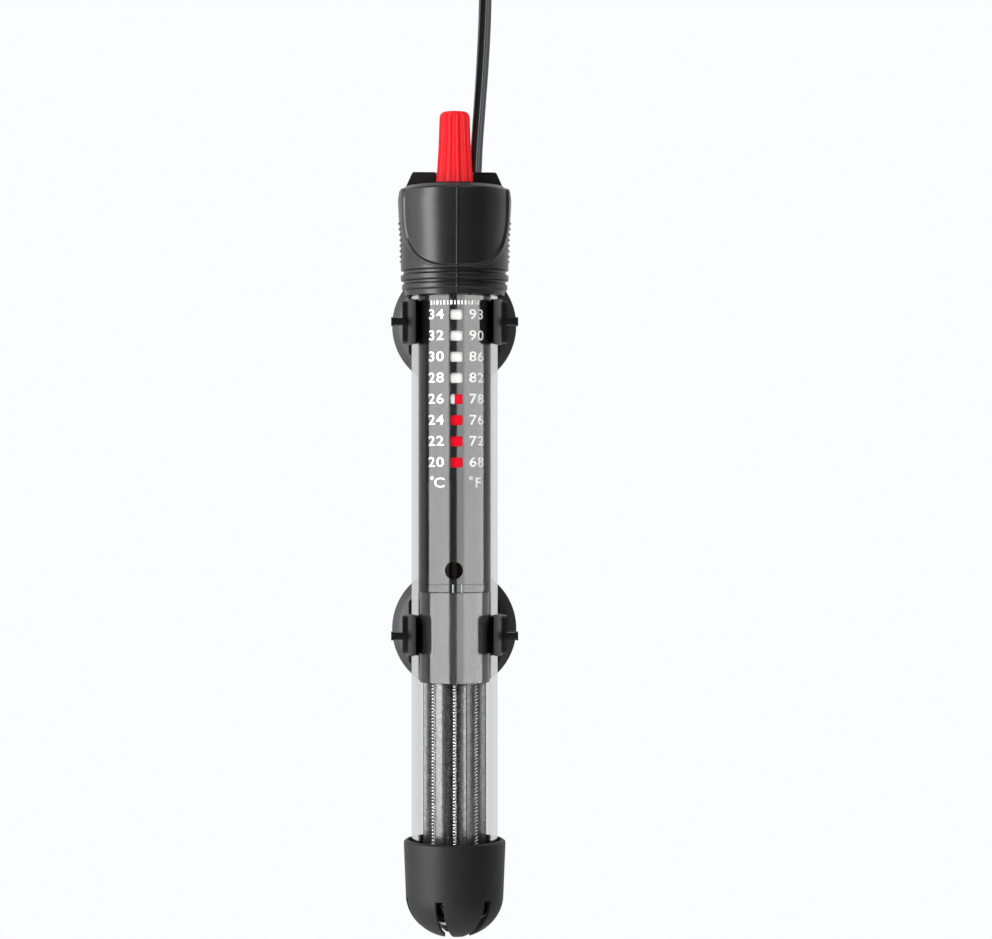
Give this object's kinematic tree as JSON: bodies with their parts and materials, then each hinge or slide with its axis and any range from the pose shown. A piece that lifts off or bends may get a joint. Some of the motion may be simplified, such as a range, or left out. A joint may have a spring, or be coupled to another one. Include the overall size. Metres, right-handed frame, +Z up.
{
  "type": "submersible aquarium heater",
  "caption": "Glass-tube aquarium heater with a set knob, window dial, ceramic heating core, slotted guard, clips with suction cups, and a mains cord and plug.",
  "frame": {"origin": "on the face of the tank wall, straight behind the tube and midway between the two suction cups", "axes": "+Y points into the wall, +Z up along the tube, towards the knob, and +X to the right seen from the front"},
  "size_m": [0.0376, 0.1044, 0.3211],
  "materials": {
    "tube_glass": "clear borosilicate glass",
    "black_rubber": "matte moulded rubber",
    "clip_rubber": "smooth moulded rubber",
    "grey_plastic": "dark grey heat-proof plastic",
    "sleeve_plastic": "glossy black with white print",
    "guard_plastic": "fine matte moulded",
    "red_plastic": "red moulded",
    "white_plastic": "white moulded",
    "core_ceramic": "unglazed grey ceramic",
    "resistance_wire": "drawn nichrome wire",
    "plain_steel": "rolled steel",
    "brass": "turned brass",
    "lamp_glass": "small glass bulb",
    "cord_sheath": "smooth black sheath",
    "tie_plastic": "black band",
    "plug_plastic": "fine matte moulded"
  },
  "bodies": {
    "heater": {"glass_tube": "tube_glass", "head_cap": "black_rubber", "spindle_seal": "black_rubber", "carrier_plug": "grey_plastic", "cord_gland": "black_rubber", "scale_sleeve": "sleeve_plastic", "sleeve_end_ring": "sleeve_plastic", "heat_shield_sleeve": "grey_plastic", "ceramic_core": "core_ceramic", "heating_coil": "resistance_wire", "upper_insulator": "white_plastic", "lower_insulator": "core_ceramic", "left_coil_lead": "brass", "right_coil_lead": "brass", "thermostat_frame": "plain_steel", "contact_arm": "brass", "snap_magnet": "plain_steel", "leaf_anchor": "brass", "pilot_lamp": "lamp_glass", "lamp_resistor": "core_ceramic", "live_wire": "red_plastic", "neutral_wire": "white_plastic", "cord_lead": "cord_sheath", "cord_hank": "cord_sheath", "cord_tail": "cord_sheath", "hank_tie": "tie_plastic", "plug_strain_relief": "plug_plastic", "plug_body": "plug_plastic", "plug_blade_front": "brass", "plug_blade_rear": "brass"},
    "control": {"knob": "red_plastic", "spindle": "brass", "indicator_drum": "white_plastic", "indicator_red_band": "red_plastic"},
    "adjuster": {"adjuster_nut": "brass"},
    "leaf": {"bimetal_leaf": "plain_steel", "moving_contact": "brass"},
    "guard": {"bottom_guard": "guard_plastic"},
    "upper_clip": {"upper_clip": "clip_rubber"},
    "upper_cup": {"upper_suction_cup": "clip_rubber"},
    "lower_clip": {"lower_clip": "clip_rubber"},
    "lower_cup": {"lower_suction_cup": "clip_rubber"}
  },
  "joints": [
    {"name": "knob_turn", "type": "hinge", "parent": "heater", "child": "control", "pos_m": [0, -0.032, 0.085], "axis": [0, 0, -1], "range_deg": [-128.57, 171.43]},
    {"name": "adjuster_travel", "type": "slide", "parent": "heater", "child": "adjuster", "axis": [0, 0, 1], "range_m": [-0.00036, 0.00048]},
    {"name": "leaf_bend", "type": "hinge", "parent": "heater", "child": "leaf", "pos_m": [-0.0058, -0.032, -0.01205], "axis": [0, 1, 0], "range_deg": [0, 4], "stiffness_Nm_per_rad": 0.001, "springref_deg": -3.44},
    {"name": "guard_pull", "type": "slide", "parent": "heater", "child": "guard", "axis": [0, 0, -1], "range_m": [0, 0.035]},
    {"name": "upper_clip_slide", "type": "slide", "parent": "heater", "child": "upper_clip", "axis": [0, 0, 1], "range_m": [-0.025, 0]},
    {"name": "upper_cup_turn", "type": "hinge", "parent": "upper_clip", "child": "upper_cup", "pos_m": [0, 0, 0.0457], "axis": [0, 1, 0], "continuous": true},
    {"name": "lower_clip_slide", "type": "slide", "parent": "heater", "child": "lower_clip", "axis": [0, 0, 1], "range_m": [-0.045, 0.025]},
    {"name": "lower_cup_turn", "type": "hinge", "parent": "lower_clip", "child": "lower_cup", "pos_m": [0, 0, -0.0457], "axis": [0, 1, 0], "continuous": true}
  ],
  "couplings": [
    {"joint": "adjuster_travel", "follows": "knob_turn", "m_per_rad": 0.00015915}
  ]
}
